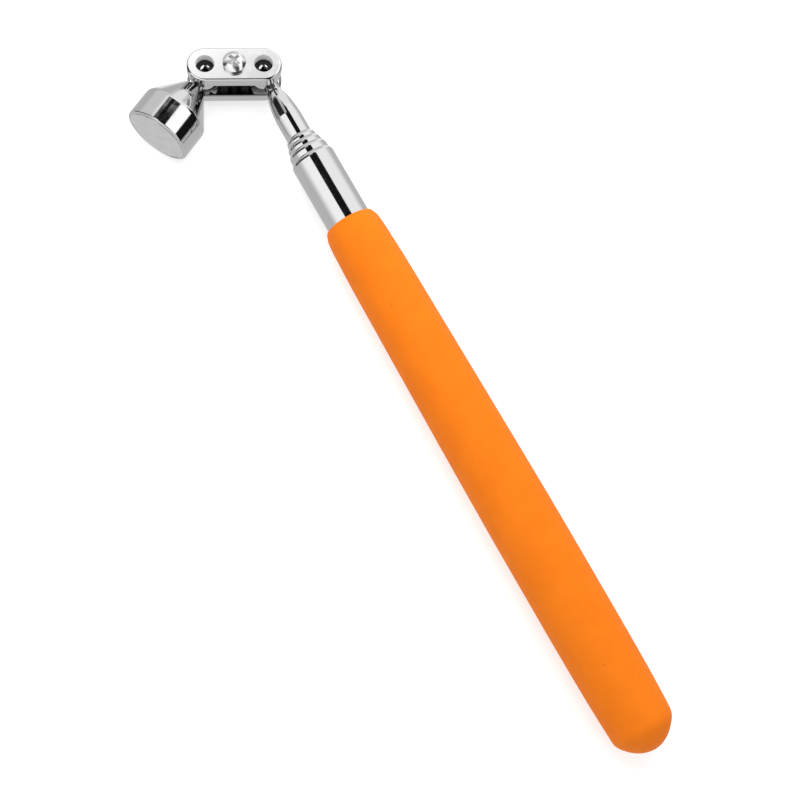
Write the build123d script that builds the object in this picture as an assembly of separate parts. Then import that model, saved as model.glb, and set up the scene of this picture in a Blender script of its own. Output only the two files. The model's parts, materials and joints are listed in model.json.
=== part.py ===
from build123d import *
import math
import os

# Telescoping magnetic pickup tool, in millimetres: a pot magnet on a double ball swivel, a mast of
# five nested tubes and a soft sleeve grip.
#
# Frame: +X runs along the mast from the butt of the grip to the ball end, and +Z is up from the
# table that the tool lies on, with the mast closed and the head folded round to +Y. The origin is
# at the bottom centre of the folded tool.
#
# Every turned piece is drawn as (distance, radius) points. The distance runs along the piece's own
# axis from the centre of its ball: towards the butt on the mast, and towards the magnet on the head.

# Overall lengths
CLOSED_LENGTH = 195.0      # butt to magnet face, with the head in line and the mast closed
OPEN_LENGTH = 678.0        # the same with all four sections drawn out
BALL_SPACING = 12.5        # between the two ball centres
FACE = 17.9                # ball centre to magnet face
BUTT = CLOSED_LENGTH - BALL_SPACING - FACE
SECTIONS = 4
TRAVEL = (OPEN_LENGTH - CLOSED_LENGTH) / SECTIONS

# Fits, all radial
PRESS_GAP = 0.01           # pieces that are pressed or crimped together
RUNNING_GAP = 0.05         # pieces that turn or slide in each other

THROUGH = 20.0             # length of a cutter that passes right through its piece

# Mast tubes: tube 1 is the outer tube, and tube 5 the innermost
TUBE_RADIUS = 4.9          # outside of tube 1
TUBE_STEP = 0.5            # fall in radius from one tube to the next
TUBE_WALL = 0.2
NOSE_TIPS = (21.5, 19.4, 17.75, 16.25)     # fronts of tubes 1 to 4, rolled in to guide the next tube
NOSE_LENGTH = 1.0          # axial length of the rolled nose
NOSE_LAND = 0.05           # thickness left at the very tip
TUBE_1_BACK = 159.0
TUBE_5_FRONT = 11.0

# Brass stop bush and friction spring at the back of tubes 2 to 5, in the gap outside the tube
BUSH_LENGTH = 8.0
BUSH_FRONT_COLLAR = 2.0
BUSH_BACK_COLLAR = 1.6
BUSH_COLLAR = 0.24         # collar height above the tube
BUSH_WAIST = 0.10          # waist height above the tube
STOP_CLEARANCE = 0.2       # left between the bush and the nose at full travel
SPRING_LENGTH = 4.0
SPRING_THICKNESS = 0.09
SPRING_CROWN = 0.04        # how far the band bows outwards
SPRING_SPLIT = 40          # degrees left open

# Butt plug
PLUG_LENGTH = 4.0
PLUG_FLANGE = 0.5
PLUG_CHAMFER = 0.4

# Grip sleeve
GRIP_MOUTH = 38.1
GRIP_RADIUS = 7.4          # of the barrel, which is the part that the tool lies on
GRIP_BARREL = (115.0, 134.0)
GRIP_LIP = (39.3, 5.92)    # where the rolled lip meets the taper
GRIP_LIP_FACE = 5.2        # radius at which the lip leaves the flat mouth
GRIP_TAPER = [(42.0, 6.33), (46.0, 6.49), (60.0, 6.79), (85.0, 7.12), (100.0, 7.28)]
GRIP_SHOULDER = [(144.0, 7.31), (152.0, 7.16), (158.0, 6.94)]
GRIP_DOME = [(160.4, 6.65), (162.0, 5.5), (163.4, 3.85)]
DENT_RADIUS = 4.5          # shallow dent beside the nub of the butt, on the side away from the head
DENT_DEPTH = 0.85
DENT_CENTRE = (163.1, 4.2)
DENT_SLOPE = 40            # degrees between the axis and the line out of the dent

# Balls and their necks
BALL_RADIUS = 3.4
NECK_RADIUS = 1.5
PIN_RADIUS = 1.0           # stem inside the ball
PIN_DEPTH = 1.5            # how far the stem reaches past the ball's centre
BALL_FLAT = math.sqrt(BALL_RADIUS ** 2 - NECK_RADIUS ** 2)

# Tip fitting, from the neck to the shank in tube 5
OGIVE_START = (4.5, 1.64)
OGIVE_MIDDLE = (7.4, 2.42)
OGIVE_END_RADIUS = 2.83
SHANK_LENGTH = 8.0

# Swivel link: two plates clamped over the balls by one screw
PLATE_LENGTH = 20.4
PLATE_WIDTH = 7.95
PLATE_THICKNESS = 2.75
PLATE_GAP = 4.2
OUTER_EDGE_RADIUS = 0.5
INNER_EDGE_RADIUS = 0.3
WINDOW_RADIUS = 2.03       # hole that shows the ball
SCREW_RADIUS = 1.5
SCREW_HEAD_RADIUS = 2.5
SCREW_HEAD_SIDE = 0.8      # height of the head's straight side
SCREW_HEAD_HEIGHT = 1.9
SCREW_END = 0.3            # thread showing beyond the nut
RECESS_SPAN = 2.9
RECESS_SLOT = 0.75
RECESS_DEPTH = 1.2
RECESS_TAPER = 5.5         # degrees on each side of a slot
NUT_ACROSS_FLATS = 5.5
NUT_THICKNESS = 1.6
NUT_CHAMFER_ANGLE = 30

# Magnet head
STUD_SHANK_RADIUS = 1.25
STUD_SHANK_END = 9.0
CUP_RADIUS = 7.5
CONE_START = (4.3, 2.65)     # behind the edge of the plates at every swing
CONE_END = 11.2
CONE_EDGE_RADIUS = 1.5
CUP_RIM = 17.85
RIM_OUTER_RADIUS = 0.35
RIM_INNER_CHAMFER = 0.08
CAVITY_FLOOR = 12.9
MAGNET_RADIUS = 6.55
SLEEVE_WALL = 0.25
SLEEVE_FRONT = 17.8

# How the tool lies: the plates lean, the link and the head are swung round, and the cup and the
# grip's barrel both touch the table
LINK_PITCH = 4.5
LINK_ROLL = 0.45
LINK_HEADING = 62.8
HEAD_HEADING = 116.8


def plan_direction(heading):
    """Unit vector in plan, at this many degrees from +X towards +Y."""
    return Vector(math.cos(math.radians(heading)), math.sin(math.radians(heading)), 0)


mast_ball = Vector(0, 0, GRIP_RADIUS)
link_normal = Vector(0, 0, 1).rotate(Axis.Y, LINK_PITCH).rotate(Axis.X, LINK_ROLL)
link_plan = plan_direction(LINK_HEADING)
link_rise = -link_plan.dot(link_normal) / link_normal.Z
link_direction = (link_plan + Vector(0, 0, link_rise)).normalized()
head_ball_centre = mast_ball + link_direction * BALL_SPACING
head_rise = (CUP_RADIUS - head_ball_centre.Z) / (CONE_END + CONE_EDGE_RADIUS / 2)
head_direction = (plan_direction(HEAD_HEADING) + Vector(0, 0, head_rise)).normalized()

mast_frame = Plane(origin=mast_ball, x_dir=(-1, 0, 0), z_dir=(0, 0, 1))
link_frame = Plane(origin=mast_ball + link_direction * (BALL_SPACING / 2), x_dir=link_direction,
                   z_dir=link_normal)
head_frame = Plane(origin=head_ball_centre, x_dir=head_direction,
                   z_dir=head_direction.cross(Vector(0, 0, 1)).cross(head_direction))


def turned(*outline, angle=360):
    """Revolve a closed outline of (distance, radius) points about the piece's own axis."""
    return revolve(make_face(Polyline(*outline, close=True)), Axis.X, angle)


def tube_radius(number):
    return TUBE_RADIUS - TUBE_STEP * (number - 1)


def tube_nose_tip(number):
    return NOSE_TIPS[number - 1]


def bush_front(number):
    """Front of the stop bush at rest: one full travel behind the nose of the tube around it."""
    return tube_nose_tip(number - 1) + NOSE_LENGTH + STOP_CLEARANCE + TRAVEL


def tube_back(number):
    return TUBE_1_BACK if number == 1 else bush_front(number) + BUSH_LENGTH


def nosed_tube(number):
    """Thin tube whose front end is rolled in to just clear the next tube."""
    outer = tube_radius(number)
    bore = outer - TUBE_WALL
    front = tube_nose_tip(number)
    back = tube_back(number)
    hole = tube_radius(number + 1) + RUNNING_GAP
    drop = outer - hole - NOSE_LAND
    roll = (NOSE_LENGTH ** 2 + drop ** 2) / (2 * drop)
    tangent = front + NOSE_LENGTH
    centre = outer - roll

    def roll_point(radius, x):
        return (x, centre + math.sqrt(radius ** 2 - (tangent - x) ** 2))

    inner_roll = roll - TUBE_WALL
    land_end = tangent - math.sqrt(inner_roll ** 2 - (hole - centre) ** 2)
    outline = (
        ThreePointArc((front, hole + NOSE_LAND), roll_point(roll, front + NOSE_LENGTH / 2),
                      (tangent, outer))
        + Polyline((tangent, outer), (back, outer), (back, bore), (tangent, bore))
        + ThreePointArc((tangent, bore), roll_point(inner_roll, (tangent + land_end) / 2),
                        (land_end, hole))
        + Polyline((land_end, hole), (front, hole), (front, hole + NOSE_LAND))
    )
    return revolve(make_face(outline), Axis.X)


def plain_tube(number):
    """Innermost tube: its plain front end holds the tip fitting."""
    outer = tube_radius(number)
    bore = outer - TUBE_WALL
    back = tube_back(number)
    return turned((TUBE_5_FRONT, bore), (TUBE_5_FRONT, outer), (back, outer), (back, bore))


def stop_bush(number):
    """Brass bush crimped on the back of a tube: a waist for the spring between two collars."""
    bore = tube_radius(number) + PRESS_GAP
    waist = tube_radius(number) + BUSH_WAIST
    collar = tube_radius(number) + BUSH_COLLAR
    front = bush_front(number)
    back = front + BUSH_LENGTH
    waist_front = front + BUSH_FRONT_COLLAR
    waist_back = back - BUSH_BACK_COLLAR
    return turned((front, bore), (front, collar), (waist_front, collar), (waist_front, waist),
                  (waist_back, waist), (waist_back, collar), (back, collar), (back, bore))


def friction_spring(number):
    """Split spring band, bowed outwards, that rides in the waist of the stop bush."""
    inside = tube_radius(number) + BUSH_WAIST + PRESS_GAP
    outside = inside + SPRING_THICKNESS
    room = BUSH_LENGTH - BUSH_FRONT_COLLAR - BUSH_BACK_COLLAR
    front = bush_front(number) + BUSH_FRONT_COLLAR + (room - SPRING_LENGTH) / 2
    middle = front + SPRING_LENGTH / 2
    back = front + SPRING_LENGTH
    outline = (
        ThreePointArc((front, outside), (middle, outside + SPRING_CROWN), (back, outside))
        + Line((back, outside), (back, inside))
        + ThreePointArc((back, inside), (middle, inside + SPRING_CROWN), (front, inside))
        + Line((front, inside), (front, outside))
    )
    return revolve(make_face(outline), Axis.X, 360 - SPRING_SPLIT)


def butt_plug():
    """Moulded plug that closes the back of tube 1."""
    radius = TUBE_RADIUS - TUBE_WALL - PRESS_GAP
    front = TUBE_1_BACK - PLUG_LENGTH
    back = TUBE_1_BACK + PLUG_FLANGE
    return turned((front, 0), (front, radius - PLUG_CHAMFER), (front + PLUG_CHAMFER, radius),
                  (TUBE_1_BACK, radius), (TUBE_1_BACK, TUBE_RADIUS), (back, TUBE_RADIUS), (back, 0))


def grip_sleeve():
    """Soft closed-end sleeve: rolled lip, long taper, barrel, and a domed butt with a dent in it."""
    bore = TUBE_RADIUS + PRESS_GAP
    bore_end = TUBE_1_BACK + PLUG_FLANGE + PRESS_GAP
    barrel_front, barrel_back = GRIP_BARREL
    lip = Spline((GRIP_MOUTH, GRIP_LIP_FACE), GRIP_LIP, tangents=[(0, 1), (3, 1)])
    taper = Spline(GRIP_LIP, *GRIP_TAPER, (barrel_front, GRIP_RADIUS), tangents=[(3, 1), (1, 0)])
    dome = Spline((barrel_back, GRIP_RADIUS), *GRIP_SHOULDER, *GRIP_DOME, (BUTT, 0),
                  tangents=[(1, 0), (0, -1)])
    outline = (
        lip + taper
        + Line((barrel_front, GRIP_RADIUS), (barrel_back, GRIP_RADIUS))
        + dome
        + Polyline((BUTT, 0), (bore_end, 0), (bore_end, bore), (GRIP_MOUTH, bore),
                   (GRIP_MOUTH, GRIP_LIP_FACE))
    )
    sleeve = revolve(make_face(outline), Axis.X)
    distance, off_axis = DENT_CENTRE
    slope = math.radians(DENT_SLOPE)
    out = DENT_RADIUS - DENT_DEPTH
    dent = Pos(distance + out * math.cos(slope), off_axis + out * math.sin(slope), 0) \
        * Sphere(DENT_RADIUS)
    return sleeve - dent


def ball():
    """Hardened ball with a blind bore for its pin, and a flat where the neck meets it."""
    sphere = Sphere(BALL_RADIUS)
    beyond_flat = Pos(BALL_FLAT + BALL_RADIUS, 0, 0) * Box(2 * BALL_RADIUS, 2 * BALL_RADIUS,
                                                           2 * BALL_RADIUS)
    bore_radius = PIN_RADIUS + RUNNING_GAP
    bore_end = -(PIN_DEPTH + RUNNING_GAP)
    bore = turned((bore_end, 0), (bore_end, bore_radius), (BALL_RADIUS, bore_radius),
                  (BALL_RADIUS, 0))
    return sphere - beyond_flat - bore


def tip_fitting():
    """Turned fitting: ball pin, neck, ogive, and a shank pressed into tube 5."""
    neck_face = BALL_FLAT + RUNNING_GAP
    shank = tube_radius(5) - TUBE_WALL - PRESS_GAP
    shank_end = TUBE_5_FRONT + SHANK_LENGTH
    outline = (
        Polyline((-PIN_DEPTH, 0), (-PIN_DEPTH, PIN_RADIUS), (neck_face, PIN_RADIUS),
                 (neck_face, NECK_RADIUS), OGIVE_START)
        + ThreePointArc(OGIVE_START, OGIVE_MIDDLE, (TUBE_5_FRONT, OGIVE_END_RADIUS))
        + Polyline((TUBE_5_FRONT, OGIVE_END_RADIUS), (TUBE_5_FRONT, shank), (shank_end, shank),
                   (shank_end, 0), (-PIN_DEPTH, 0))
    )
    return revolve(make_face(outline), Axis.X)


def front_plate():
    """Link plate with a window and a seat over each ball, and a hole for the clamp screw."""
    inner_face = PLATE_GAP / 2
    blank = Pos(0, 0, inner_face) * extrude(SlotOverall(PLATE_LENGTH, PLATE_WIDTH), PLATE_THICKNESS)
    rims = blank.faces().sort_by(Axis.Z)
    blank = fillet(rims[-1].edges(), OUTER_EDGE_RADIUS)
    blank = fillet(blank.faces().sort_by(Axis.Z)[0].edges(), INNER_EDGE_RADIUS)
    for side in (-1, 1):
        over_ball = Pos(side * BALL_SPACING / 2, 0, 0)
        blank -= over_ball * Cylinder(WINDOW_RADIUS, THROUGH)
        blank -= over_ball * Sphere(BALL_RADIUS + RUNNING_GAP)
    return blank - Cylinder(SCREW_RADIUS + RUNNING_GAP, THROUGH)


def rear_plate():
    return Rot(180, 0, 0) * front_plate()


def clamp_screw():
    """Pan-head screw with a cross recess, through both plates and the nut."""
    plate_top = PLATE_GAP / 2 + PLATE_THICKNESS
    end = -(plate_top + NUT_THICKNESS + SCREW_END)
    head_base = plate_top + PRESS_GAP
    side_top = head_base + SCREW_HEAD_SIDE
    head_top = head_base + SCREW_HEAD_HEIGHT
    dome_rise = SCREW_HEAD_HEIGHT - SCREW_HEAD_SIDE
    dome = (SCREW_HEAD_RADIUS ** 2 + dome_rise ** 2) / (2 * dome_rise)
    half_way = SCREW_HEAD_RADIUS / 2
    half_height = head_top - dome + math.sqrt(dome ** 2 - half_way ** 2)
    outline = (
        Polyline((0, head_top), (0, end), (SCREW_RADIUS, end), (SCREW_RADIUS, head_base),
                 (SCREW_HEAD_RADIUS, head_base), (SCREW_HEAD_RADIUS, side_top))
        + ThreePointArc((SCREW_HEAD_RADIUS, side_top), (half_way, half_height), (0, head_top))
    )
    screw = revolve(Plane.XZ * make_face(outline), Axis.Z)
    for turn in (45, 135):
        blade = extrude(Rectangle(RECESS_SPAN, RECESS_SLOT), -RECESS_DEPTH, taper=RECESS_TAPER)
        screw -= Pos(0, 0, head_top) * Rot(0, 0, turn) * blade
    return screw


def clamp_nut():
    """Thin hexagon nut behind the rear plate."""
    top = -(PLATE_GAP / 2 + PLATE_THICKNESS + PRESS_GAP)
    corner_radius = NUT_ACROSS_FLATS / math.sqrt(3)
    blank = extrude(RegularPolygon(corner_radius, 6), -NUT_THICKNESS)
    drop = (corner_radius - NUT_ACROSS_FLATS / 2) * math.tan(math.radians(NUT_CHAMFER_ANGLE))
    chamfer_cone = make_face(Plane.XZ * Polyline(
        (0, 0), (corner_radius, 0), (corner_radius, drop - NUT_THICKNESS),
        (NUT_ACROSS_FLATS / 2, -NUT_THICKNESS), (0, -NUT_THICKNESS), close=True))
    nut = blank & revolve(chamfer_cone, Axis.Z)
    nut -= Cylinder(SCREW_RADIUS + PRESS_GAP, THROUGH)
    return Pos(0, 0, top) * nut


def head_stud():
    """Turned stud: ball pin, neck, and a shank pressed into the back of the magnet cup."""
    neck_face = BALL_FLAT + RUNNING_GAP
    cone_start = CONE_START[0]
    return turned((-PIN_DEPTH, 0), (-PIN_DEPTH, PIN_RADIUS), (neck_face, PIN_RADIUS),
                  (neck_face, NECK_RADIUS), (cone_start, NECK_RADIUS),
                  (cone_start, STUD_SHANK_RADIUS), (STUD_SHANK_END, STUD_SHANK_RADIUS),
                  (STUD_SHANK_END, 0))


def magnet_cup():
    """Steel pot: cone, cylinder and rim, bored for the stud behind and for the magnet in front."""
    stud_bore = STUD_SHANK_RADIUS + PRESS_GAP
    cavity = MAGNET_RADIUS + SLEEVE_WALL + PRESS_GAP
    profile = make_face(Polyline(
        (CONE_START[0], stud_bore), CONE_START, (CONE_END, CUP_RADIUS), (CUP_RIM, CUP_RADIUS),
        (CUP_RIM, cavity + RIM_INNER_CHAMFER), (CUP_RIM - RIM_INNER_CHAMFER, cavity),
        (CAVITY_FLOOR, cavity), (CAVITY_FLOOR, 0), (STUD_SHANK_END + PRESS_GAP, 0),
        (STUD_SHANK_END + PRESS_GAP, stud_bore), close=True))
    cone_corner = profile.vertices().sort_by_distance((CONE_END, CUP_RADIUS))[0]
    profile = fillet(cone_corner, CONE_EDGE_RADIUS)
    rim_corner = profile.vertices().sort_by_distance((CUP_RIM, CUP_RADIUS))[0]
    profile = fillet(rim_corner, RIM_OUTER_RADIUS)
    return revolve(profile, Axis.X)


def magnet_sleeve():
    """Non-magnetic sleeve that keeps the magnet's side off the steel wall."""
    floor = CAVITY_FLOOR + PRESS_GAP
    inner = MAGNET_RADIUS + PRESS_GAP
    outer = MAGNET_RADIUS + SLEEVE_WALL
    return turned((floor, inner), (floor, outer), (SLEEVE_FRONT, outer), (SLEEVE_FRONT, inner))


def magnet():
    """Disc magnet, ground flat, that stands just proud of the rim."""
    floor = CAVITY_FLOOR + PRESS_GAP
    return turned((floor, 0), (floor, MAGNET_RADIUS), (FACE, MAGNET_RADIUS), (FACE, 0))


mast_pieces = {
    "grip_sleeve": grip_sleeve(),
    "butt_plug": butt_plug(),
    "outer_tube": nosed_tube(1),
    "tube_2": nosed_tube(2),
    "tube_3": nosed_tube(3),
    "tube_4": nosed_tube(4),
    "tube_5": plain_tube(5),
    "tip_fitting": tip_fitting(),
    "rod_ball": ball(),
}
for number in range(2, SECTIONS + 2):
    mast_pieces[f"stop_bush_{number}"] = stop_bush(number)
    mast_pieces[f"friction_spring_{number}"] = friction_spring(number)

link_pieces = {
    "front_plate": front_plate(),
    "rear_plate": rear_plate(),
    "clamp_screw": clamp_screw(),
    "clamp_nut": clamp_nut(),
}

head_pieces = {
    "head_ball": ball(),
    "head_stud": head_stud(),
    "magnet_cup": magnet_cup(),
    "magnet_sleeve": magnet_sleeve(),
    "magnet": magnet(),
}

placed = {}
for frame, pieces in ((mast_frame, mast_pieces), (link_frame, link_pieces),
                      (head_frame, head_pieces)):
    for name, piece in pieces.items():
        placed[name] = frame.location * piece

boxes = [piece.bounding_box() for piece in placed.values()]
origin = Vector((min(box.min.X for box in boxes) + max(box.max.X for box in boxes)) / 2,
                (min(box.min.Y for box in boxes) + max(box.max.Y for box in boxes)) / 2,
                min(box.min.Z for box in boxes))

os.makedirs("parts", exist_ok=True)
for name, piece in placed.items():
    export_step(Pos(-origin) * piece, f"parts/{name}.step")
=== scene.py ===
import json
import math

import bpy
from mathutils import Matrix, Vector, noise


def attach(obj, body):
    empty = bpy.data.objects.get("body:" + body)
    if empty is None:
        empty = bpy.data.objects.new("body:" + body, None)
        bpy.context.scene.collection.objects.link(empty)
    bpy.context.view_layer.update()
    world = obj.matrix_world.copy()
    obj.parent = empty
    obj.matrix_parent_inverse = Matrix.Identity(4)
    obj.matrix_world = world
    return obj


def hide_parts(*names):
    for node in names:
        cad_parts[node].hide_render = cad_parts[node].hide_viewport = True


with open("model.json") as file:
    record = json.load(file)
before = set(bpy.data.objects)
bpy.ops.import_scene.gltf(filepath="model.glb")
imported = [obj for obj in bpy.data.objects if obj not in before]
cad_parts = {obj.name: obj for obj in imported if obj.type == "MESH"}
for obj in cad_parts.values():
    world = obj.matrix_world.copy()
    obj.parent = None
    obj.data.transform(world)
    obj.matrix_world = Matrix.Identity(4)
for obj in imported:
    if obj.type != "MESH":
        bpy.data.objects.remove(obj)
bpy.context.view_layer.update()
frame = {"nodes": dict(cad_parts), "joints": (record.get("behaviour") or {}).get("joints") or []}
nodes = frame["nodes"]
joints = {joint["name"]: joint for joint in frame["joints"]}

MM = 0.001

# Places and directions of the two balls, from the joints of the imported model
mast_ball = Vector(joints["link_swing"]["pos_m"])
head_ball = Vector(joints["head_swing"]["pos_m"])
link_normal = Vector(joints["link_swing"]["axis"]).normalized()
link_direction = (head_ball - mast_ball).normalized()
head_axis = Vector(joints["head_spin"]["axis"]).normalized()
mast_axis = -Vector(joints["section_2_slide"]["axis"]).normalized()
up = Vector((0, 0, 1))


# ---------------------------------------------------------------------------------------------
# Node helpers
# ---------------------------------------------------------------------------------------------

class Shader:
    """Adds nodes to one tree and links them."""

    def __init__(self, tree):
        self.tree = tree

    def node(self, kind, inputs=(), **settings):
        made = self.tree.nodes.new(kind)
        for name, value in settings.items():
            setattr(made, name, value)
        for name, value in dict(inputs).items():
            self.set(made.inputs[name], value)
        return made

    def set(self, socket, value):
        if isinstance(value, bpy.types.NodeSocket):
            self.tree.links.new(value, socket)
        else:
            socket.default_value = value

    def math(self, operation, *values):
        made = self.node("ShaderNodeMath", operation=operation, inputs=dict(enumerate(values)))
        return made.outputs[0]

    def smooth(self, value, low, high, start=0.0, end=1.0):
        """Eases from start at low to end at high."""
        made = self.node("ShaderNodeMapRange", interpolation_type="SMOOTHSTEP",
                         inputs={0: value, 1: low, 2: high, 3: start, 4: end})
        return made.outputs[0]

    def linear(self, value, low, high, start=0.0, end=1.0):
        """Goes straight from start at low to end at high."""
        made = self.node("ShaderNodeMapRange", inputs={0: value, 1: low, 2: high, 3: start, 4: end})
        return made.outputs[0]

    def dot(self, vector, direction):
        made = self.node("ShaderNodeVectorMath", operation="DOT_PRODUCT",
                         inputs={0: vector, 1: tuple(direction)})
        return made.outputs["Value"]

    def combine(self, x, y, z):
        return self.node("ShaderNodeCombineXYZ", inputs={0: x, 1: y, 2: z}).outputs[0]

    def noise(self, vector, scale, detail=2.0, roughness=0.5, distortion=0.0):
        made = self.node("ShaderNodeTexNoise",
                         inputs={"Vector": vector, "Scale": scale, "Detail": detail,
                                 "Roughness": roughness, "Distortion": distortion})
        return made.outputs[0]

    def mix(self, factor, first, second):
        """Blend of two colours."""
        made = self.node("ShaderNodeMix", data_type="RGBA", inputs={0: factor, 6: first, 7: second})
        return made.outputs[2]

    def between(self, factor, first, second):
        """Blend of two numbers."""
        return self.node("ShaderNodeMix", inputs={0: factor, 2: first, 3: second}).outputs[0]

    def bump(self, height, distance, strength=1.0):
        made = self.node("ShaderNodeBump",
                         inputs={"Height": height, "Distance": distance, "Strength": strength})
        return made.outputs[0]


def new_material(name, **surface):
    """A material whose uniform values sit on the shader's own sockets."""
    material = bpy.data.materials.new(name)
    material.use_nodes = True
    shader = Shader(material.node_tree)
    principled = material.node_tree.nodes["Principled BSDF"]
    for socket, value in surface.items():
        principled.inputs[socket.replace("_", " ")].default_value = value
    return material, shader, principled


def local_coordinates(shader, origin, along, side):
    """Millimetres from the origin along one direction, to the side, and across both."""
    across = along.cross(side).normalized()
    side = across.cross(along).normalized()
    point = shader.node("ShaderNodeTexCoord").outputs["Object"]
    parts = []
    for direction in (along, side, across):
        distance = shader.math("SUBTRACT", shader.dot(point, direction), origin.dot(direction))
        parts.append(shader.math("DIVIDE", distance, MM))
    return parts


# ---------------------------------------------------------------------------------------------
# Materials
# ---------------------------------------------------------------------------------------------

CHROME = (0.66, 0.66, 0.665, 1)
# Painted shade: the plates' inner faces between the plates are darkened for the shade there
PLATE_PAINTED_SHADE = (0.22, 0.22, 0.225, 1)
# Painted shade: the screw's shank between the plates is darkened for the shade there
SHANK_PAINTED_SHADE = (0.14, 0.14, 0.145, 1)
# Painted dark reflection: the balls' caps in the windows are darkened to stand in for what they mirror
CAP_PAINTED_DARK = (0.055, 0.055, 0.057, 1)
# Painted light: the window walls are a pale matt non-metal, lightened for the light falling on them
WALL_PAINTED_LIGHT = (0.85, 0.85, 0.85, 1)

link_centre = (mast_ball + head_ball) / 2
half_spacing = (head_ball - mast_ball).length / MM / 2

# Distances in millimetres over which the painted shade and painted light fade in, from their edge to
# their full strength
BETWEEN_PLATES = (2.5, 2.25)     # either side of the link's middle plane
BELOW_FACE = (4.85, 4.75)        # either side of the link's middle plane
WINDOW_WALL = (2.15, 2.08)       # from the middle of a window
BALL_CAP = (2.2, 2.45)           # either side of the ball's middle plane


def turned_chrome(name, origin, along, base=CHROME, roughness=0.05, line_depth=0.0006, seed=0.0):
    """Chrome plate over a turned or drawn piece: faint rings about its axis, and a few smudges."""
    material, shader, principled = new_material(name, Metallic=1.0, Base_Color=base)
    distance, side, across = local_coordinates(shader, origin, along, up)
    ring = shader.combine(distance, seed, 0.0)
    lines = shader.noise(ring, 9.0, detail=3.0, roughness=0.7)
    point = shader.combine(distance, side, across)
    smudge = shader.noise(point, 0.35, detail=4.0, roughness=0.6, distortion=0.4)
    level = shader.smooth(smudge, 0.42, 0.68, roughness, roughness + 0.05)
    shader.set(principled.inputs["Roughness"], level)
    shader.set(principled.inputs["Normal"], shader.bump(lines, line_depth * MM, 0.5))
    return material


def flat_chrome(name):
    """Chrome plate over a stamped piece: fine polishing haze, painted shade on the inner faces between
    the plates, and painted light on the window walls, which are made pale and matt.
    """
    material, shader, principled = new_material(name)
    distance, height, side = local_coordinates(shader, link_centre, link_direction, link_normal)
    off_middle = shader.math("ABSOLUTE", height)
    # Painted shade on the inner faces between the plates
    inner_shade = shader.smooth(off_middle, *BETWEEN_PLATES)
    from_ball = shader.math("SUBTRACT", shader.math("ABSOLUTE", distance), half_spacing)
    squared = shader.math("ADD", shader.math("POWER", from_ball, 2.0), shader.math("POWER", side, 2.0))
    in_window = shader.smooth(shader.math("SQRT", squared), *WINDOW_WALL)
    # Painted light on the window walls: pale, matt and not metal
    wall_light = shader.math("MULTIPLY", in_window, shader.smooth(off_middle, *BELOW_FACE))
    tone = shader.mix(wall_light, shader.mix(inner_shade, CHROME, PLATE_PAINTED_SHADE), WALL_PAINTED_LIGHT)
    shader.set(principled.inputs["Base Color"], tone)
    shader.set(principled.inputs["Metallic"], shader.math("SUBTRACT", 1.0, wall_light))
    haze = shader.noise(shader.combine(distance, side, height), 0.6, detail=5.0, roughness=0.65)
    polished = shader.smooth(haze, 0.4, 0.7, 0.07, 0.13)
    level = shader.math("ADD", polished, shader.math("MULTIPLY", wall_light, 0.5))
    shader.set(principled.inputs["Roughness"], level)
    stretched = shader.combine(shader.math("MULTIPLY", distance, 0.6), side,
                               shader.math("MULTIPLY", height, 14.0))
    grain = shader.noise(stretched, 1.6, detail=3.0, roughness=0.6)
    shader.set(principled.inputs["Normal"], shader.bump(grain, 0.0006 * MM, 0.4))
    return material


def socket_ball(name, centre):
    """Chromed ball, with a painted dark reflection on the two caps that show in the plates' windows.
    """
    material, shader, principled = new_material(name, Metallic=1.0)
    height, side, across = local_coordinates(shader, centre, link_normal, link_direction)
    haze = shader.noise(shader.combine(height, side, across), 0.9, detail=3.0, roughness=0.6)
    # Painted dark reflection on the caps in the windows
    cap = shader.smooth(shader.math("ABSOLUTE", height), *BALL_CAP)
    shader.set(principled.inputs["Base Color"], shader.mix(cap, CHROME, CAP_PAINTED_DARK))
    shader.set(principled.inputs["Roughness"], shader.linear(haze, 0.3, 0.7, 0.05, 0.10))
    shader.set(principled.inputs["Normal"], shader.bump(haze, 0.001 * MM, 0.4))
    return material


def plated_screw(name):
    """Bright plated screw and nut: satin haze, and painted shade on the shank between the plates."""
    material, shader, principled = new_material(name, Metallic=1.0)
    height, side, across = local_coordinates(shader, link_centre, link_normal, link_direction)
    haze = shader.noise(shader.combine(height, side, across), 1.5, detail=4.0, roughness=0.6)
    # Painted shade on the shank between the plates
    shank = shader.smooth(shader.math("ABSOLUTE", height), *BETWEEN_PLATES)
    tone = shader.mix(haze, (0.70, 0.70, 0.70, 1), (0.78, 0.78, 0.775, 1))
    shader.set(principled.inputs["Base Color"], shader.mix(shank, tone, SHANK_PAINTED_SHADE))
    shader.set(principled.inputs["Roughness"], shader.linear(haze, 0.3, 0.7, 0.18, 0.28))
    shader.set(principled.inputs["Normal"], shader.bump(haze, 0.006 * MM, 0.6))
    return material


def ground_magnet(name):
    """Nickel-plated magnet, ground flat: fine straight grinding lines and a soft mottle."""
    material, shader, principled = new_material(name, Metallic=1.0)
    distance, side, across = local_coordinates(shader, head_ball, head_axis, up)
    lines = shader.noise(shader.combine(shader.math("MULTIPLY", side, 9.0), across, distance), 1.2,
                         detail=3.0, roughness=0.65)
    mottle = shader.noise(shader.combine(distance, side, across), 0.5, detail=4.0)
    tone = shader.mix(shader.smooth(mottle, 0.35, 0.7), (0.80, 0.80, 0.795, 1), (0.86, 0.86, 0.855, 1))
    shader.set(principled.inputs["Base Color"], tone)
    shader.set(principled.inputs["Roughness"], shader.linear(lines, 0.3, 0.7, 0.42, 0.55))
    shader.set(principled.inputs["Normal"], shader.bump(lines, 0.002 * MM, 0.5))
    return material


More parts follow.
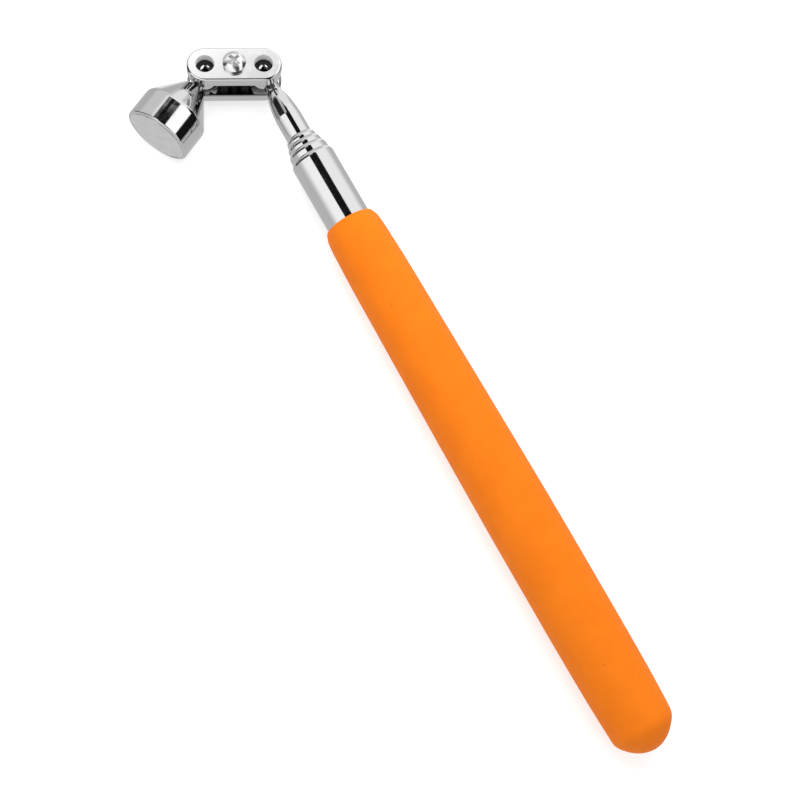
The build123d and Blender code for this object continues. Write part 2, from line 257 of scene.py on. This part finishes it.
def grip_rubber(name):
    """Soft matt orange skin: fine pores, a slow mottle, and the odd darker speck."""
    material, shader, principled = new_material(name, Specular_IOR_Level=0.09)
    distance, side, across = local_coordinates(shader, mast_ball, mast_axis, up)
    point = shader.combine(distance, side, across)
    mottle = shader.noise(point, 0.16, detail=5.0, roughness=0.6)
    fine = shader.noise(point, 1.3, detail=4.0, roughness=0.7)
    tone = shader.mix(shader.smooth(mottle, 0.35, 0.68), (0.725, 0.163, 0.0062, 1),
                      (0.755, 0.176, 0.0072, 1))
    tone = shader.mix(shader.smooth(fine, 0.45, 0.8, 0.0, 0.2), tone, (0.67, 0.145, 0.005, 1))
    cells = shader.node("ShaderNodeTexVoronoi", inputs={"Vector": point, "Scale": 0.17})
    speck = shader.smooth(cells.outputs["Distance"], 0.028, 0.05, 1.0, 0.0)
    tone = shader.mix(shader.math("MULTIPLY", speck, 0.55), tone, (0.45, 0.10, 0.012, 1))
    shader.set(principled.inputs["Base Color"], tone)
    shader.set(principled.inputs["Roughness"], shader.linear(fine, 0.3, 0.7, 0.55, 0.7))
    pores = shader.noise(point, 7.0, detail=3.0, roughness=0.6)
    skin = shader.math("ADD", shader.math("MULTIPLY", pores, 0.5), fine)
    shader.set(principled.inputs["Normal"], shader.bump(skin, 0.02 * MM, 0.5))
    return material


def brass(name):
    """Turned brass with tool lines."""
    material, shader, principled = new_material(name, Metallic=1.0)
    distance, side, across = local_coordinates(shader, mast_ball, mast_axis, up)
    lines = shader.noise(shader.combine(distance, 0.0, 0.0), 14.0, detail=3.0, roughness=0.7)
    stain = shader.noise(shader.combine(distance, side, across), 0.8, detail=4.0)
    tone = shader.mix(shader.smooth(stain, 0.35, 0.7), (0.72, 0.49, 0.19, 1), (0.80, 0.60, 0.28, 1))
    shader.set(principled.inputs["Base Color"], tone)
    shader.set(principled.inputs["Roughness"], shader.linear(lines, 0.3, 0.7, 0.2, 0.34))
    shader.set(principled.inputs["Normal"], shader.bump(lines, 0.004 * MM, 0.6))
    return material


def spring_steel(name):
    """Rolled strip with a blue-grey temper."""
    material, shader, principled = new_material(name, Metallic=1.0)
    distance, side, across = local_coordinates(shader, mast_ball, mast_axis, up)
    rolled = shader.noise(shader.combine(shader.math("MULTIPLY", distance, 12.0), side, across), 0.9,
                          detail=3.0)
    tone = shader.mix(rolled, (0.36, 0.37, 0.40, 1), (0.52, 0.53, 0.55, 1))
    shader.set(principled.inputs["Base Color"], tone)
    shader.set(principled.inputs["Roughness"], shader.linear(rolled, 0.3, 0.7, 0.22, 0.36))
    return material


def moulded_plastic(name):
    """Black moulded plastic with a fine spark-eroded grain."""
    material, shader, principled = new_material(name, Specular_IOR_Level=0.4)
    distance, side, across = local_coordinates(shader, mast_ball, mast_axis, up)
    grain = shader.noise(shader.combine(distance, side, across), 6.0, detail=3.0)
    tone = shader.mix(grain, (0.018, 0.018, 0.019, 1), (0.035, 0.035, 0.036, 1))
    shader.set(principled.inputs["Base Color"], tone)
    shader.set(principled.inputs["Roughness"], shader.linear(grain, 0.3, 0.7, 0.45, 0.6))
    shader.set(principled.inputs["Normal"], shader.bump(grain, 0.01 * MM, 0.6))
    return material


def dress(material, *names):
    """Gives CAD nodes this material in place of their own."""
    for name in names:
        for slot in nodes[name].material_slots:
            slot.material = material


SLIDING_TUBES = range(2, 6)

dress(turned_chrome("tube_chrome", mast_ball, mast_axis),
      "outer_tube", *[f"tube_{number}" for number in SLIDING_TUBES])
dress(turned_chrome("tip_chrome", mast_ball, mast_axis, seed=3.0), "tip_fitting")
dress(turned_chrome("head_chrome", head_ball, head_axis, seed=7.0), "magnet_cup", "head_stud")
dress(socket_ball("rod_ball_chrome", mast_ball), "rod_ball")
dress(socket_ball("head_ball_chrome", head_ball), "head_ball")
dress(turned_chrome("sleeve_bright", head_ball, head_axis, base=(0.84, 0.84, 0.84, 1),
                    roughness=0.2, seed=11.0), "magnet_sleeve")
dress(plated_screw("screw_bright"), "clamp_screw", "clamp_nut")
dress(flat_chrome("plate_chrome"), "front_plate", "rear_plate")
dress(ground_magnet("magnet_ground"), "magnet")
dress(brass("bush_brass"), *[f"stop_bush_{number}" for number in SLIDING_TUBES])
dress(spring_steel("spring_strip"), *[f"friction_spring_{number}" for number in SLIDING_TUBES])
dress(moulded_plastic("plug_plastic"), "butt_plug")


# ---------------------------------------------------------------------------------------------
# Grip sleeve
# ---------------------------------------------------------------------------------------------

# All in millimetres, with distances measured from the mast's ball towards the butt
GRIP_SEGMENTS = 192
MOUTH = 38.1
MOUTH_EDGE = MOUTH + 0.35
BORE_RADIUS = 4.91
BORE_END = 159.51
BORE_ROWS = 120
BUTT = 164.6
KNOTS = [                  # (distance, radius), direction of the skin there
    ((MOUTH_EDGE, BORE_RADIUS), (-1, 0)),
    ((MOUTH, 5.2), (0, 1)),
    ((39.0, 5.82), (1, 0.5)),
    ((41.0, 6.24), (1, 0.1)),
    ((46.0, 6.48), (20, 0.9)),
    ((60.0, 6.78), (20, 0.32)),
    ((85.0, 7.12), (40, 0.5)),
    ((115.0, 7.39), (1, 0)),
    ((132.0, 7.39), (1, 0)),
    ((144.0, 7.31), (10, -0.12)),
    ((152.0, 7.17), (10, -0.35)),
    ((158.0, 6.95), (10, -0.4)),
    ((160.3, 6.68), (2, -0.8)),
    ((162.0, 5.5), (1, -0.95)),
    ((163.4, 3.85), (1, -1.5)),
    ((BUTT, 0.0), (0, -1)),
]
ROW_SPACING = 0.6
UNEVEN_WALL = 0.05
DENT_SLOPE = math.radians(35)
DENTS = [                  # (distance, off the axis), reach, depth
    ((161.5, -6.0), 4.6, 0.45),
    ((163.4, -3.4), 2.5, 0.75),
]
NEARLY = 0.05              # closer to the bore than this is on it
ON_AXIS = 1e-6


def hermite(start, start_slope, end, end_slope, count):
    """Points of a cubic from start to end, without the end, that leaves and arrives on the slopes."""
    points = []
    for step in range(count):
        t = step / count
        points.append(start * (2 * t ** 3 - 3 * t ** 2 + 1) + start_slope * (t ** 3 - 2 * t ** 2 + t)
                      + end * (3 * t ** 2 - 2 * t ** 3) + end_slope * (t ** 3 - t ** 2))
    return points


def smooth_line(knots, spacing):
    """Points along a smooth line through knots of (place, direction)."""
    points = []
    for (start, start_direction), (end, end_direction) in zip(knots, knots[1:]):
        start, end = Vector(start), Vector(end)
        length = (end - start).length
        count = max(4, round(length / spacing))
        points += hermite(start, Vector(start_direction).normalized() * length,
                          end, Vector(end_direction).normalized() * length, count)
    points.append(Vector(knots[-1][0]))
    return points


def grip_outline():
    """Outline of the sleeve as (distance, radius): end of the bore, bore, mouth, skin, butt."""
    bore = [Vector((BORE_END, radius)) for radius in (0.0, BORE_RADIUS * 0.5, BORE_RADIUS)]
    bore += [Vector((BORE_END + (MOUTH_EDGE - BORE_END) * row / BORE_ROWS, BORE_RADIUS))
             for row in range(1, BORE_ROWS)]
    return bore + smooth_line(KNOTS, ROW_SPACING)


def soften(point):
    """Moves a point of the plain skin for the uneven wall and the dents, and leaves the bore."""
    radius = math.hypot(point.y, point.z)
    moved = point.copy()
    if radius <= BORE_RADIUS + NEARLY and point.x <= BORE_END + NEARLY:
        return moved
    if radius > ON_AXIS:
        slow = noise.noise(Vector((point.x * 0.06, point.y * 0.22, point.z * 0.22)))
        moved -= Vector((0, point.y, point.z)) / radius * UNEVEN_WALL * (0.5 + 0.5 * slow)
    pressed = Vector((math.cos(DENT_SLOPE), -math.sin(DENT_SLOPE), 0))
    for centre, reach, depth in DENTS:
        away = (point - Vector((*centre, 0))).length / reach
        if away < 1:
            moved -= pressed * depth * (1 - away ** 2) ** 2
    return moved


def turned_rows(outline):
    """Points round the x axis for each point of the outline, and the rows that they stand in."""
    points = []
    rows = []
    for distance, radius in outline:
        count = GRIP_SEGMENTS if radius > ON_AXIS else 1
        rows.append(range(len(points), len(points) + count))
        for step in range(count):
            angle = 2 * math.pi * step / GRIP_SEGMENTS
            points.append(Vector((distance, radius * math.cos(angle), radius * math.sin(angle))))
    return points, rows


def faces_between(rows):
    """Quads between neighbouring rows, and triangles where a row is a single point."""
    faces = []
    for row, after in zip(rows, rows[1:]):
        for step in range(GRIP_SEGMENTS):
            following = (step + 1) % GRIP_SEGMENTS
            if len(row) == 1:
                faces.append((row[0], after[following], after[step]))
            elif len(after) == 1:
                faces.append((row[step], row[following], after[0]))
            else:
                faces.append((row[step], row[following], after[following], after[step]))
    return faces


def build_grip():
    """Soft sleeve: rolled lip, faintly uneven wall, and dents beside the nub of the butt."""
    points, rows = turned_rows(grip_outline())
    side = Vector((0, 1, 0))
    placed = []
    for point in points:
        point = soften(point)
        placed.append(mast_ball + (mast_axis * point.x + side * point.y + up * point.z) * MM)
    mesh = bpy.data.meshes.new("grip_skin")
    mesh.from_pydata([tuple(point) for point in placed], [], faces_between(rows))
    mesh.validate()
    mesh.update()
    mesh.materials.append(grip_rubber("grip_orange"))
    skin = bpy.data.objects.new("grip_skin", mesh)
    bpy.context.scene.collection.objects.link(skin)
    bpy.context.view_layer.objects.active = skin
    skin.select_set(True)
    bpy.ops.object.mode_set(mode="EDIT")
    bpy.ops.mesh.select_all(action="SELECT")
    bpy.ops.mesh.normals_make_consistent(inside=False)
    bpy.ops.object.mode_set(mode="OBJECT")
    mesh.shade_smooth()
    return skin


grip = build_grip()
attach(grip, "handle")
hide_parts("grip_sleeve")
grip.visible_glossy = False


# ---------------------------------------------------------------------------------------------
# Camera
# ---------------------------------------------------------------------------------------------

CAMERA_OFFSET = Vector((-0.1396, 0.0917, 0.3663))
CAMERA_LOOK = Vector((0.1641, -0.2154, -0.9626))
CAMERA_UP = Vector((0.8552, -0.4553, 0.2477))

camera_data = bpy.data.cameras.new("camera")
camera_data.lens = 82.26
camera_data.sensor_width = 36.0
camera_data.clip_start = 0.01
camera_data.clip_end = 50.0
camera = bpy.data.objects.new("camera", camera_data)
bpy.context.scene.collection.objects.link(camera)
look = CAMERA_LOOK.normalized()
right = look.cross(CAMERA_UP).normalized()
top = right.cross(look)
camera.matrix_world = Matrix.Translation(mast_ball + CAMERA_OFFSET) @ Matrix(
    (right, top, -look)).transposed().to_4x4()
bpy.context.scene.camera = camera


# ---------------------------------------------------------------------------------------------
# Floor and light
# ---------------------------------------------------------------------------------------------

FLOOR_HALF = 6.0
floor_mesh = bpy.data.meshes.new("floor")
floor_mesh.from_pydata([(-FLOOR_HALF, -FLOOR_HALF, 0), (FLOOR_HALF, -FLOOR_HALF, 0),
                        (FLOOR_HALF, FLOOR_HALF, 0), (-FLOOR_HALF, FLOOR_HALF, 0)], [], [(0, 1, 2, 3)])
floor = bpy.data.objects.new("floor", floor_mesh)
bpy.context.scene.collection.objects.link(floor)
floor_material = new_material(
    "floor_white", Base_Color=(0.60, 0.60, 0.60, 1), Roughness=1.0, Specular_IOR_Level=0.0,
    Emission_Color=(1, 1, 1, 1), Emission_Strength=0.55)[0]
floor_mesh.materials.append(floor_material)
floor.visible_glossy = False


# Studio that the chrome mirrors: a plain room with soft boxes and black flags, laid over one another
# as (start, end, softness, level). Angles go round the mast in degrees: 0 is straight up, 90 is level
# on the -Y side, -90 is level on the +Y side, and 180 is straight down at the table.
ROOM = 0.65
BEHIND = [
    (-75, 0, 30, 1.3),       # soft box on the +Y side
    (18, 46, 3, 1.5),        # soft box on the -Y side
    (-30, 18, 1, 0.01),      # gap between them
    (47, 85, 4, 0.01),       # flag beside the box
]
BESIDE = [
    (-75, 0, 40, 1.3),       # soft box on the +Y side
    (0, 85, 40, 1.2),        # soft box on the -Y side
    (-20, 18, 1, 0.01),      # gap between them
]
AHEAD = [
    (0, 160, 15, 1.1),       # wide soft box on the -Y side
    (-125, -20, 15, 0.02),   # flag on the +Y side
]
END_WALL = (0.6, 0.8)        # below and above the table's level
DOME = (0.80, 0.80, 0.80, 1)     # what matt surfaces are lit by
PALE = (1.0, 1.0, 1.0, 1)        # what shows past the floor


def studio_world():
    """Surroundings: soft boxes and flags round the mast, in zones from behind to ahead.

    The zones follow the direction's x, from the butt's end (-1) to the head's end (+1).
    """
    world = bpy.data.worlds.new("studio")
    world.use_nodes = True
    bpy.context.scene.world = world
    shader = Shader(world.node_tree)
    direction = shader.node("ShaderNodeTexCoord").outputs["Generated"]
    x, y, z = shader.node("ShaderNodeSeparateXYZ", inputs={0: direction}).outputs
    turn = shader.math("DEGREES", shader.math("ARCTAN2", shader.math("MULTIPLY", y, -1.0), z))
    lean = shader.linear(x, 0.30, 0.06, 0.0, 7.5)
    leaning_turn = shader.math("SUBTRACT", turn, lean)

    def around(angle, boxes):
        """Brightness of the room with these boxes and flags, against the angle round the mast."""
        level = ROOM
        for start, end, softness, brightness in boxes:
            half = softness / 2
            entered = shader.smooth(angle, start - half, start + half)
            inside = shader.math("MULTIPLY", entered, shader.smooth(angle, end + half, end - half))
            level = shader.between(inside, level, brightness)
        return level

    level = shader.between(shader.smooth(x, -0.10, 0.10),
                           around(leaning_turn, BEHIND), around(leaning_turn, BESIDE))
    # The zone ahead starts sooner away from the middle of the ceiling
    sooner_left = shader.smooth(turn, 6.0, -6.0, 0.0, 0.27)
    sooner_right = shader.smooth(turn, 8.5, 13.0, 0.0, 0.13)
    edge = shader.math("ADD", shader.math("ADD", x, sooner_left), sooner_right)
    level = shader.between(shader.smooth(edge, 0.60, 0.67), level, around(turn, AHEAD))
    end_wall = shader.smooth(z, -0.15, 0.15, *END_WALL)
    level = shader.between(shader.smooth(x, 0.68, 0.80), level, end_wall)
    path = shader.node("ShaderNodeLightPath").outputs
    color = shader.mix(path["Is Diffuse Ray"], shader.combine(level, level, level), DOME)
    background = world.node_tree.nodes["Background"]
    shader.set(background.inputs["Color"], shader.mix(path["Is Camera Ray"], color, PALE))


def add_light(name, kind, towards, energy):
    """A light that shines from the direction given."""
    data = bpy.data.lights.new(name, kind)
    data.energy = energy
    light = bpy.data.objects.new(name, data)
    bpy.context.scene.collection.objects.link(light)
    light.rotation_euler = Vector(towards).to_track_quat("Z", "Y").to_euler()
    return light


studio_world()

key = add_light("key", "AREA", (0.12, -0.08, 0.28), 1.2)
key.data.shape = "DISK"
key.data.size = 0.4
key.location = (0.18, -0.08, 0.28)
key.visible_glossy = False

# Soft panels that single pieces mirror: name, direction, energy, degrees across, pieces
PANELS = [
    ("plate_panel", (0.489, -0.184, 0.853), 0.36, 42, ("front_plate", "rear_plate")),
    ("screw_panel", (0.489, -0.184, 0.853), 0.9, 110, ("clamp_screw",)),
    ("ball_panel", (0.793, 0.187, 0.581), 10.0, 50, ("rod_ball", "head_ball")),
    ("ball_side_panel", (0.441, -0.628, 0.641), 3.4, 24, ("rod_ball", "head_ball")),
]
for name, towards, energy, across, pieces in PANELS:
    panel = add_light(name, "SUN", towards, energy)
    panel.data.angle = math.radians(across)
    lit = bpy.data.collections.new(name + "_receivers")
    for piece in pieces:
        lit.objects.link(nodes[piece])
    panel.light_linking.receiver_collection = lit

bpy.context.scene.view_settings.view_transform = "Standard"
bpy.context.scene.view_settings.look = "None"
